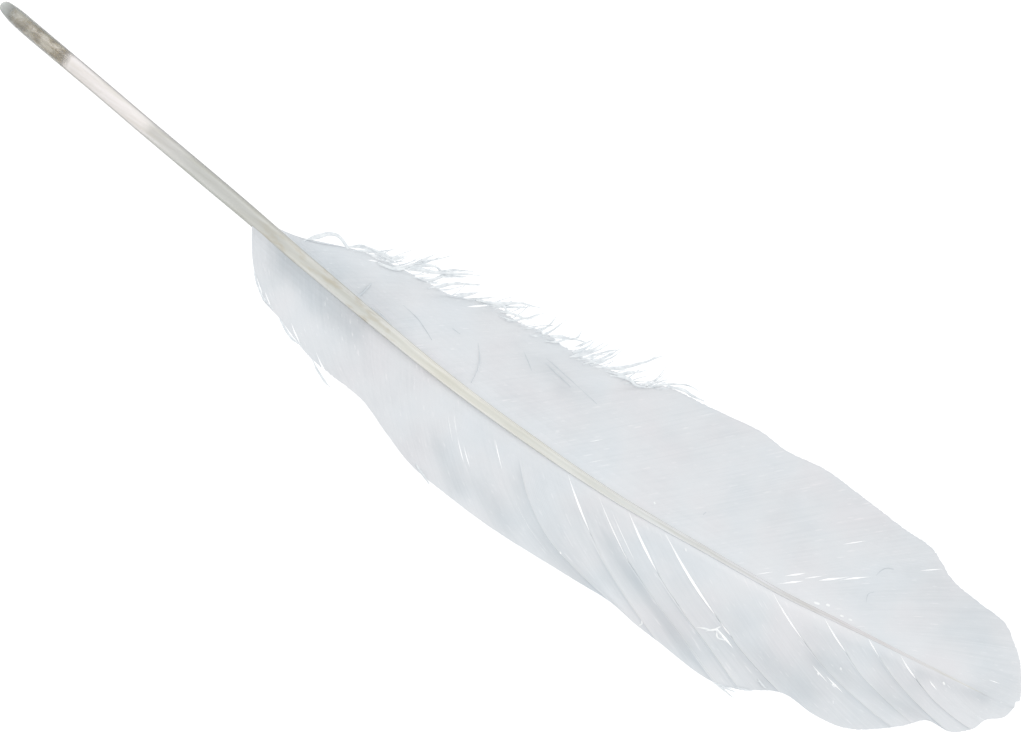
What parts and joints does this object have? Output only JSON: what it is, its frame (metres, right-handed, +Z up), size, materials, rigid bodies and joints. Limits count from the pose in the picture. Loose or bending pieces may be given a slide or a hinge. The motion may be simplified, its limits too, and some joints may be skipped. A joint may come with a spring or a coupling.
{
  "type": "goose quill feather",
  "caption": "White goose wing feather lying flat, grooved underside up: bare round quill, tapering rachis, one broad vane and one narrow vane split into lapping webs.",
  "frame": {"origin": "under the middle of the feather's bounding box, on the surface it lies on", "axes": "+X along the feather from the end of the bare quill to the tip, +Y across it towards the broad vane, +Z up from the surface it lies on, out of its grooved underside"},
  "size_m": [0.3, 0.0584, 0.0068],
  "materials": {
    "quill": "smooth, waxy keratin, slightly translucent",
    "vane": "matt, finely combed barbs with a soft sheen"
  },
  "bodies": {
    "root": {"quill_shaft": "quill", "broad_vane": "vane", "broad_vane_tip": "vane", "narrow_vane_base": "vane", "narrow_vane_web_2": "vane", "narrow_vane_web_3": "vane", "narrow_vane_web_4": "vane", "narrow_vane_web_5": "vane", "narrow_vane_web_6": "vane", "narrow_vane_web_7": "vane", "narrow_vane_web_8": "vane", "narrow_vane_web_9": "vane", "narrow_vane_tip": "vane"}
  },
  "joints": []
}
